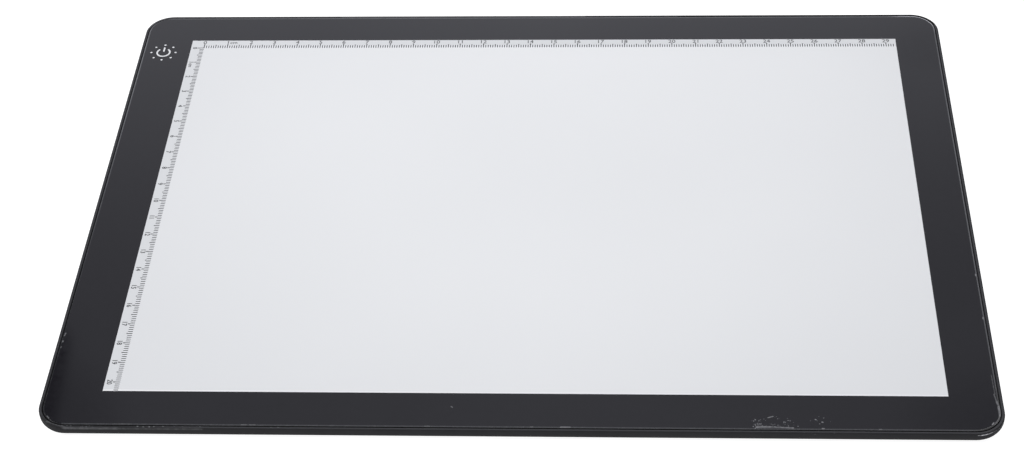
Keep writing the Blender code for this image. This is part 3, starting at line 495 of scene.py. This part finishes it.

# Painted highlights and painted shade on the chamfer: middle, reach, tone, roughness.
chamfer_highlights_and_shades = (
    ((0.1610, 0.1190), (0.0130, 0.0125), 0.55, 0.40),
    ((-0.1655, 0.1125), (0.0060, 0.0090), 0.11, 0.40),
    ((0.1640, -0.1192), (0.0080, 0.0080), 0.008, 0.60),
    ((0.1690, -0.1075), (0.0040, 0.0110), 0.010, 0.50),
)
for middle, reach, tone, rough in chamfer_highlights_and_shades:
    near_by = spot(panel_acrylic, (*middle, panel_top), (*reach, 1.0))
    wear_and_painted_light = work_out(panel_acrylic, "MULTIPLY", chamfer, near_by)
    lay_over(panel_acrylic, wear_and_painted_light, tone=(tone, tone, 1.05 * tone), rough=rough)

# The window's white has a painted pool of light near its middle, and is clouded a little.
LIGHT_POOL_MIDDLE, LIGHT_POOL_REACH = (0.014, 0.024), (0.255, 0.250, 1.0)
CLOUDS_A_METRE = 9.0
CLOUD_SHARE = 0.25
clouds = {"Vector": place_on(panel_acrylic), "Scale": CLOUDS_A_METRE, "Detail": 2.0}
painted_light_pool = spot(panel_acrylic, (*LIGHT_POOL_MIDDLE, panel_top), LIGHT_POOL_REACH)
lit_and_clouded = work_out(panel_acrylic, "MULTIPLY", painted_light_pool, 1 - CLOUD_SHARE)
cloud = add_node(panel_acrylic, "TexNoise", clouds)
lit_and_clouded = work_out(panel_acrylic, "MULTIPLY_ADD", cloud, CLOUD_SHARE, lit_and_clouded)
milky = between(panel_acrylic, lit_and_clouded, (0.660, 0.669, 0.675), (0.799, 0.805, 0.804))
window = inside(panel_acrylic, (window_left, window_near, flat_low), (window_right, window_far, flat_high))
lay_over(panel_acrylic, window, tone=milky, rough=0.13)

# Bands in the window: two for the ruler, a paler one under each row of ticks, and one at the near edge.
zero_x, zero_y = RULER_ZERO
ticks_end_x = zero_x + FAR_TICKS * MILLIMETRE + PAST_LAST_TICK
ticks_end_y = zero_y - LEFT_TICKS * MILLIMETRE - PAST_LAST_TICK
window_bands = (
    ((window_left, zero_y), (window_right, window_far), (0.662, 0.671, 0.677)),
    ((window_left, window_near), (zero_x, window_far), (0.662, 0.671, 0.677)),
    ((zero_x, zero_y), (ticks_end_x, zero_y + TICK_STRIP), (0.80, 0.81, 0.82)),
    ((zero_x - TICK_STRIP, ticks_end_y), (zero_x, zero_y), (0.80, 0.81, 0.82)),
    ((window_left, window_near), (window_right, window_near + PRINT_EDGE), (0.80, 0.80, 0.805)),
)
for low, high, tone in window_bands:
    lay_over(panel_acrylic, inside(panel_acrylic, (*low, flat_low), (*high, flat_high)), tone=tone)

# Patches of small pits in the near border: middle, reach, pitch, share, tone.
PIT_REACH_DOWN = 0.002
border_wear = (
    ((0.0836, -0.1184), (0.0026, 0.0030), 0.0007, 0.75, 0.17),
    ((0.0858, -0.1168), (0.0030, 0.0016), 0.0006, 0.55, 0.12),
    ((0.0885, -0.1153), (0.0026, 0.0012), 0.0006, 0.60, 0.12),
    ((0.0912, -0.1156), (0.0018, 0.0014), 0.0006, 0.60, 0.12),
    ((0.0945, -0.1172), (0.0030, 0.0022), 0.0007, 0.60, 0.12),
    ((0.0970, -0.1190), (0.0026, 0.0018), 0.0007, 0.50, 0.11),
    ((0.0900, -0.1192), (0.0090, 0.0014), 0.0006, 0.45, 0.14),
    ((0.1060, -0.1175), (0.0040, 0.0040), 0.0008, 0.20, 0.08),
)
for middle, reach, pitch, share, tone in border_wear:
    near_by = spot(panel_acrylic, (*middle, panel_top), (*reach, PIT_REACH_DOWN))
    pits = grains(panel_acrylic, pitch, near_by, share)
    lay_over(panel_acrylic, pits, tone=(tone, tone, 1.06 * tone), rough=0.5)

# Scratches in the border, and painted highlight lines along the near and right rims: start, end, width,
# unevenness, tone.
border_scratches_and_rim_highlights = (
    ((0.0838, -0.1200), (0.0885, -0.1199), 0.0010, 0.3, 0.17),
    ((0.0885, -0.1199), (0.0965, -0.1203), 0.0007, 0.5, 0.15),
    ((0.0880, -0.1155), (0.0897, -0.1149), 0.0006, 0.2, 0.17),
    ((0.1043, -0.1162), (0.1045, -0.1163), 0.0007, 0.0, 0.17),
    ((0.1066, -0.1174), (0.1068, -0.1175), 0.0007, 0.0, 0.17),
    ((0.1065, -0.1205), (0.1070, -0.1205), 0.0007, 0.0, 0.15),
    ((0.1674, -0.0940), (0.1675, -0.1035), 0.0005, 0.4, 0.05),
    ((0.1672, -0.1035), (0.1677, -0.1072), 0.0006, 0.2, 0.08),
    ((0.1677, -0.1072), (0.1682, -0.1095), 0.0010, 0.5, 0.11),
    ((0.1681, -0.1095), (0.1681, -0.1140), 0.0012, 0.3, 0.15),
    ((0.1684, -0.1140), (0.1677, -0.1155), 0.0008, 0.3, 0.07),
    ((0.1677, -0.1155), (0.1660, -0.1177), 0.0013, 0.4, 0.05),
    ((0.1655, -0.1172), (0.1649, -0.1180), 0.0006, 0.0, 0.18),
    ((-0.1660, -0.1172), (-0.1651, -0.1182), 0.0006, 0.3, 0.08),
    ((-0.1412, -0.1207), (-0.1355, -0.1207), 0.0006, 0.5, 0.06),
    ((-0.0961, -0.1207), (-0.0943, -0.1207), 0.0006, 0.3, 0.09),
    ((-0.0932, -0.1207), (-0.0912, -0.1207), 0.0006, 0.3, 0.08),
    ((-0.0316, -0.1207), (-0.0298, -0.1207), 0.0006, 0.3, 0.08),
    ((0.0054, -0.1207), (0.0062, -0.1207), 0.0006, 0.0, 0.09),
    ((0.0160, -0.1207), (0.0192, -0.1207), 0.0007, 0.3, 0.15),
    ((0.1260, -0.1207), (0.1268, -0.1207), 0.0006, 0.0, 0.09),
    ((-0.1677, -0.0752), (-0.1679, -0.0766), 0.0006, 0.0, 0.12),
    ((-0.1679, -0.0793), (-0.1679, -0.0798), 0.0007, 0.0, 0.12),
    ((-0.1680, -0.0823), (-0.1680, -0.0828), 0.0006, 0.0, 0.06),
    ((0.1680, -0.0415), (0.1680, -0.0424), 0.0007, 0.0, 0.15),
    ((0.1680, -0.0646), (0.1680, -0.0655), 0.0007, 0.0, 0.15),
    ((-0.0229, -0.1112), (-0.0224, -0.1116), 0.0006, 0.0, 0.11),
)
for begin, end, width, unevenness, tone in border_scratches_and_rim_highlights:
    wear_and_painted_light = scratch(panel_acrylic, (*begin, panel_top), (*end, panel_top), width, unevenness)
    lay_over(panel_acrylic, wear_and_painted_light, tone=(tone, tone, 1.05 * tone), rough=0.5)
finish_nodes(panel_acrylic, "front_panel")


# Ruler: centimetres and millimetres printed in black on the window's far and left sides, with plain numbers.
# The print stands very slightly proud of the panel. Each tick is a thin bar, longer at every half centimetre
# and longest at every whole one.

INK_HEIGHT = 0.00003
INK_SUNK = 0.00001
TICK_WIDTH = 0.00038
TICK_LENGTHS = {1: 0.0017, 5: 0.0022, 10: 0.00265}
ink_black = grained(
    "ink_black", tones=((0.010, 0.010, 0.012), (0.020, 0.020, 0.023)),
    roughness=(0.35, 0.5), grain=0.0004, relief=0.0,
)
ink_low, ink_high = panel_top - INK_SUNK, panel_top + INK_HEIGHT


def printed(name, points, faces, finish):
    """Makes a mesh of printed shapes a piece of the pad."""
    mesh = bpy.data.meshes.new(name)
    mesh.from_pydata(points.tolist(), [], [list(face) for face in faces])
    mesh.materials.append(finish)
    piece = bpy.data.objects.new(name, mesh)
    bpy.context.scene.collection.objects.link(piece)
    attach(piece, "root")


def bars(low, high):
    """Closed flat bars. Each corner takes, on each axis, its bar's low or high value: low + sign times
    (high - low)."""
    signs = np.array([(x, y, z) for z in (0, 1) for y in (0, 1) for x in (0, 1)])
    points = low[:, None, :] + signs[None] * (high - low)[:, None, :]
    sides = np.array([(0, 2, 3, 1), (4, 5, 7, 6), (0, 1, 5, 4), (2, 6, 7, 3), (0, 4, 6, 2), (1, 3, 7, 5)])
    faces = (np.arange(len(low)) * 8)[:, None, None] + sides[None]
    return points.reshape(-1, 3), faces.reshape(-1, 4)


def tick_lengths(count):
    """The length of each millimetre's tick: the longest step that divides its number sets it."""
    number = np.arange(count + 1)
    length = np.where(number % 5 == 0, TICK_LENGTHS[5], TICK_LENGTHS[1])
    return number, np.where(number % 10 == 0, TICK_LENGTHS[10], length)


number, length = tick_lengths(FAR_TICKS)
x = zero_x + number * MILLIMETRE
low = np.stack([x - TICK_WIDTH / 2, np.full_like(x, zero_y), np.full_like(x, ink_low)], axis=1)
high = np.stack([x + TICK_WIDTH / 2, zero_y + length, np.full_like(x, ink_high)], axis=1)
printed("ruler_ticks_far", *bars(low, high), ink_black)

number, length = tick_lengths(LEFT_TICKS)
y = zero_y - number * MILLIMETRE
low = np.stack([zero_x - length, y - TICK_WIDTH / 2, np.full_like(y, ink_low)], axis=1)
high = np.stack([np.full_like(y, zero_x), y + TICK_WIDTH / 2, np.full_like(y, ink_high)], axis=1)
printed("ruler_ticks_left", *bars(low, high), ink_black)

# The left ruler's digits are smaller, narrower and heavier. Weights and WELD are in the font's own units.
DIGIT_HEIGHT = 0.0021
DIGIT_FROM_TICK = 0.00024
FAR_WIDENING, LEFT_WIDENING = 1.03, 0.94
FAR_WEIGHT, LEFT_WEIGHT = 0.0, 0.010
LEFT_SHARE = 0.88
UNIT_SHARE = 0.85
UNIT_STEP = 0.00095
WELD = 0.008


def glyph(text, weight=0.0):
    """A text's points and faces, as a flat closed shape one unit deep that starts at X 0 on its baseline.
    Corners that lie together are welded, and the triangles of its two sides are turned until none is a
    sliver. Then each corner moves out by twice the sum of its walls' normals, over that sum's square or 0.5
    if that is more, times weight."""
    curve = bpy.data.curves.new("glyph", "FONT")
    curve.body = text
    curve.extrude = 0.5
    curve.resolution_u = 3
    writing = bpy.data.objects.new("glyph", curve)
    bpy.context.scene.collection.objects.link(writing)
    bpy.context.view_layer.update()
    mesh = bpy.data.meshes.new_from_object(writing.evaluated_get(bpy.context.evaluated_depsgraph_get()))
    welded = bmesh.new()
    welded.from_mesh(mesh)
    bmesh.ops.remove_doubles(welded, verts=welded.verts, dist=WELD)
    flat_sides = [face for face in welded.faces if len(face.verts) == 3]
    inner_edges = [edge for edge in welded.edges if all(len(face.verts) == 3 for face in edge.link_faces)]
    bmesh.ops.beautify_fill(welded, faces=flat_sides, edges=inner_edges)
    welded.to_mesh(mesh)
    welded.free()
    points = np.empty(len(mesh.vertices) * 3)
    mesh.vertices.foreach_get("co", points)
    points = points.reshape(-1, 3)
    faces = [tuple(face.vertices) for face in mesh.polygons]
    normals = np.empty(len(faces) * 3)
    mesh.polygons.foreach_get("normal", normals)
    is_wall = np.array([len(face) == 4 for face in faces])
    walls = np.array([face for face in faces if len(face) == 4])
    outward = np.zeros_like(points)
    np.add.at(outward, walls.ravel(), np.repeat(normals.reshape(-1, 3)[is_wall], 4, axis=0))
    points += 2 * weight * outward / np.maximum((outward**2).sum(axis=1, keepdims=True), 0.5)
    bpy.data.objects.remove(writing)
    bpy.data.curves.remove(curve)
    bpy.data.meshes.remove(mesh)
    return points - [points[:, 0].min(), 0, 0], faces


def joined(shapes):
    """Shapes put together as one mesh: the numbers in a shape's faces go on from the points before it."""
    points, faces, made = [], [], 0
    for shape, shape_faces in shapes:
        points.append(shape)
        faces += [tuple(corner + made for corner in face) for face in shape_faces]
        made += len(shape)
    return np.concatenate(points), faces


digit_rise = glyph("0")[0][:, 1].max()


def number_shapes(labels, size_share, right, up, widening, weight):
    """The shape of each label: its middle, plus its width along right, plus its rise along up. A label is its
    text, its place, its own share of the size, and whether it is centred on its place or starts there."""
    for text, place, own_share, centred in labels:
        shape, faces = glyph(text, weight)
        scale = DIGIT_HEIGHT * own_share * size_share / digit_rise
        width = shape[:, 0].max() * scale * widening
        along = shape[:, 0] * scale * widening - (width / 2 if centred else 0)
        rise = shape[:, 1] * scale
        height = ink_low + (shape[:, 2] + 0.5) * (ink_high - ink_low)
        flat = np.array(place) + along[:, None] * np.array(right) + rise[:, None] * np.array(up)
        yield np.column_stack([flat, height]), faces


baseline_y = zero_y + TICK_LENGTHS[10] + DIGIT_FROM_TICK
far_numbers = range(FAR_TICKS // 10 + 1)
far_labels = [(str(n), (zero_x + n * CENTIMETRE, baseline_y), 1.0, True) for n in far_numbers]
far_labels.append(("cm", (zero_x + CENTIMETRE + UNIT_STEP, baseline_y), UNIT_SHARE, False))
far_shapes = number_shapes(far_labels, 1.0, (1, 0), (0, 1), FAR_WIDENING, FAR_WEIGHT)
printed("ruler_numbers_far", *joined(far_shapes), ink_black)

baseline_x = zero_x - TICK_LENGTHS[10] - DIGIT_FROM_TICK - DIGIT_HEIGHT * LEFT_SHARE
left_numbers = range(LEFT_TICKS // 10 + 1)
left_labels = [(str(n), (baseline_x, zero_y - n * CENTIMETRE), 1.0, True) for n in left_numbers]
left_labels.append(("cm", (baseline_x, zero_y - CENTIMETRE - UNIT_STEP), UNIT_SHARE, False))
left_shapes = number_shapes(left_labels, LEFT_SHARE, (0, -1), (1, 0), LEFT_WIDENING, LEFT_WEIGHT)
printed("ruler_numbers_left", *joined(left_shapes), ink_black)


# Touch key: a plain standby symbol in a ring of equal dots, printed in silver over the board's foam block.
# It has no travel. The ink has a fine metal flake.

KEY_PLACE = (-0.1599, 0.0967)
KEY_RING_RADIUS = 0.0027
KEY_STROKE = 0.0007
KEY_GAP_ANGLE = math.radians(38)
KEY_BAR = (0.0006, 0.0036)
KEY_DOT_COUNT = 8
KEY_DOT_RING = 0.0052
KEY_DOT = 0.0009
CAP_STEPS, RING_STEPS, BAR_STEPS, DOT_STEPS = 9, 72, 8, 25
ink_silver = grained(
    "ink_silver", tones=((0.66, 0.67, 0.68), (0.78, 0.79, 0.80)),
    roughness=(0.30, 0.45), grain=0.0003, relief=0.0,
)


def stroke(path, width):
    """A closed flat stroke with round ends: points left and right of the path, whose half width near an end
    is the height of a half circle at that distance along the path, and never under a fortieth of width."""
    steps = np.diff(path, axis=0)
    run = np.concatenate([[0], np.cumsum(np.linalg.norm(steps, axis=1))])
    heading = np.gradient(path, axis=0)
    heading /= np.linalg.norm(heading, axis=1, keepdims=True)
    to_end = np.minimum(np.minimum(run, run[-1] - run), width / 2)
    half = np.sqrt(np.maximum((width / 2) ** 2 - (width / 2 - to_end) ** 2, (width / 40) ** 2))
    sideways = half[:, None] * np.stack([-heading[:, 1], heading[:, 0]], axis=1)
    count = len(path)
    left, right = path + sideways, path - sideways
    edges = ((left, ink_low), (right, ink_low), (right, ink_high), (left, ink_high))
    rings = [np.column_stack([edge, np.full(count, height)]) for edge, height in edges]
    corner = np.arange(4) * count
    at = np.arange(count - 1)[:, None]
    after = np.roll(corner, -1)
    walls = np.stack([corner + at, corner + at + 1, after + at + 1, after + at], axis=2).reshape(-1, 4)
    ends = np.array([corner, corner[::-1] + count - 1])
    return np.concatenate(rings), np.concatenate([walls, ends])


def round_end_steps(length, width, count):
    """Distances along a stroke: even ones between its round ends, and half the width times 1 - cos(turn)
    from each end, for equal turns up to a right angle."""
    turn = np.linspace(0, np.pi / 2, CAP_STEPS)
    cap = (1 - np.cos(turn)) * width / 2
    body = np.linspace(width / 2, length - width / 2, count)[1:-1]
    return np.concatenate([cap, body, (length - cap)[::-1]])


arc_length = KEY_RING_RADIUS * (2 * math.pi - 2 * KEY_GAP_ANGLE)
turn = math.pi / 2 + KEY_GAP_ANGLE + round_end_steps(arc_length, KEY_STROKE, RING_STEPS) / KEY_RING_RADIUS
open_ring = KEY_RING_RADIUS * np.stack([np.cos(turn), np.sin(turn)], axis=1)
rise = KEY_BAR[0] + round_end_steps(KEY_BAR[1] - KEY_BAR[0], KEY_STROKE, BAR_STEPS)
bar = np.stack([np.zeros_like(rise), rise], axis=1)
key_paths = [(open_ring, KEY_STROKE), (bar, KEY_STROKE)]
reach = KEY_DOT_RING - KEY_DOT / 2 + (1 - np.cos(np.linspace(0, np.pi, DOT_STEPS))) * KEY_DOT / 2
for dot in range(KEY_DOT_COUNT):
    angle = 2 * math.pi * dot / KEY_DOT_COUNT
    outward = np.array([math.cos(angle), math.sin(angle)])
    key_paths.append((reach[:, None] * outward, KEY_DOT))
key_shapes = (stroke(path + np.array(KEY_PLACE), width) for path, width in key_paths)
printed("touch_symbol", *joined(key_shapes), ink_silver)


# Studio: a plain white floor, a pale surround and a large soft light on each side. The surround is brighter
# low down and in its middle, and the glossy border mirrors its soft patches, shades and dark left side.
# The camera stands where the photograph was taken from, as worked out from the ruler and the window's edges.

FLOOR_REACH = 3.0
FLOOR_GLOW = 0.93
floor_paint = grained(
    "floor_paint", tones=((0.30, 0.30, 0.30), (0.33, 0.33, 0.33)),
    roughness=(0.75, 0.85), grain=0.02, relief=0.0, shine=0.1,
)
floor_shader = floor_paint.node_tree.nodes["Principled BSDF"]
floor_shader.inputs["Emission Color"].default_value = (1.0, 1.0, 1.0, 1.0)
floor_shader.inputs["Emission Strength"].default_value = FLOOR_GLOW
floor_mesh = bpy.data.meshes.new("floor")
corners = [(x * FLOOR_REACH, y * FLOOR_REACH, 0.0) for x, y in ((-1, -1), (1, -1), (1, 1), (-1, 1))]
floor_mesh.from_pydata(corners, [], [(0, 1, 2, 3)])
floor_mesh.materials.append(floor_paint)
floor = bpy.data.objects.new("floor", floor_mesh)
bpy.context.scene.collection.objects.link(floor)

# A rise or fall is given as its reach along a direction's part and the strength at each end of it.
SURROUND_TONE = (0.930, 0.945, 1.03, 1.0)
SURROUND_RISE = ((0.50, 0.68), (1.47, 0.585))
SURROUND_MIDDLE = -0.040
SURROUND_DIMMING = ((0.01, 0.60), (0.95, 0.195))
SURROUND_PATCHES = (
    ((0.48, 0.74, 0.46), (0.17, 0.20, 0.14), 1.4),
    ((-0.485, 0.795, 0.36), (0.13, 0.14, 0.14), 1.75),
    ((-0.03, 0.18, 0.97), (0.60, 0.22, 0.30), 1.1),
)
SURROUND_SHADES = (
    ((-0.258, 0.665, 0.703), (0.036, 0.036, 0.036), 0.35),
    ((0.165, 0.682, 0.722), (0.055, 0.060, 0.030), 0.30),
    ((-0.60, 0.67, 0.44), (0.075, 0.075, 0.075), 1.0),
    ((0.138, 0.794, 0.592), (0.035, 0.020, 0.014), 0.13),
)
DARK_SLANT = 0.224
DARK_SIDE = ((-0.1055, -0.1005), (1.0, 0.0))
DARK_ABOVE = ((0.672, 0.679), (0.0, 1.0))
surround = bpy.data.worlds.new("surround")
bpy.context.scene.world = surround
surround.use_nodes = True
direction = add_node(surround, "TexCoord", {}, output="Generated")
parts = add_node(surround, "SeparateXYZ", {0: direction}).node.outputs
across, upward = parts["X"], parts["Z"]
rising = ramp(surround, upward, *SURROUND_RISE, soft=True)
sideways = work_out(surround, "ABSOLUTE", work_out(surround, "SUBTRACT", across, SURROUND_MIDDLE))
strength = work_out(surround, "MULTIPLY", rising, ramp(surround, sideways, *SURROUND_DIMMING))
for middle, reach, extra in SURROUND_PATCHES:
    strength = work_out(surround, "MULTIPLY_ADD", spot(surround, middle, reach, direction), extra, strength)
for middle, reach, share in SURROUND_SHADES:
    kept = work_out(surround, "MULTIPLY_ADD", spot(surround, middle, reach, direction), -share, 1.0)
    strength = work_out(surround, "MULTIPLY", strength, kept)
slanted = work_out(surround, "MULTIPLY_ADD", upward, DARK_SLANT, across)
at_side = ramp(surround, slanted, *DARK_SIDE, soft=True)
high_up = ramp(surround, upward, *DARK_ABOVE, soft=True)
kept = work_out(surround, "SUBTRACT", 1.0, work_out(surround, "MULTIPLY", at_side, high_up))
strength = work_out(surround, "MULTIPLY", strength, kept)
background = surround.node_tree.nodes["Background"]
background.inputs["Color"].default_value = SURROUND_TONE
surround.node_tree.links.new(strength, background.inputs["Strength"])


def soft_light(name, place, aim, size, power):
    """A large soft light that shines from its place towards aim."""
    lamp = bpy.data.lights.new(name, "AREA")
    lamp.shape = "RECTANGLE"
    lamp.size, lamp.size_y = size
    lamp.energy = power
    holder = bpy.data.objects.new(name, lamp)
    bpy.context.scene.collection.objects.link(holder)
    away = np.array(place) - np.array(aim)
    turn = math.atan2(away[0], -away[1])
    holder.location = place
    holder.rotation_euler = (math.atan2(math.hypot(away[0], away[1]), away[2]), 0.0, turn)


soft_light("left_light", place=(-1.50, -0.15, 1.20), aim=(0.0, 0.0, 0.0), size=(1.0, 1.0), power=24.2)
soft_light("right_light", place=(1.15, 0.55, 1.45), aim=(0.0, 0.0, 0.0), size=(1.0, 1.6), power=14.9)

# The lens and its sensor are in millimetres, as Blender keeps them.
CAMERA_PLACE = (0.041430, -0.637909, 0.554538)
CAMERA_TURN = (math.radians(48.6021), math.radians(2.0499), math.radians(2.5172))
CAMERA_LENS, CAMERA_SENSOR = 75.945, 36.0
camera_data = bpy.data.cameras.new("camera")
camera_data.lens, camera_data.sensor_width = CAMERA_LENS, CAMERA_SENSOR
camera_data.clip_start, camera_data.clip_end = 0.01, 20.0
camera = bpy.data.objects.new("camera", camera_data)
camera.location = CAMERA_PLACE
camera.rotation_euler = CAMERA_TURN
bpy.context.scene.collection.objects.link(camera)
bpy.context.scene.camera = camera
bpy.context.scene.view_settings.view_transform = "Standard"
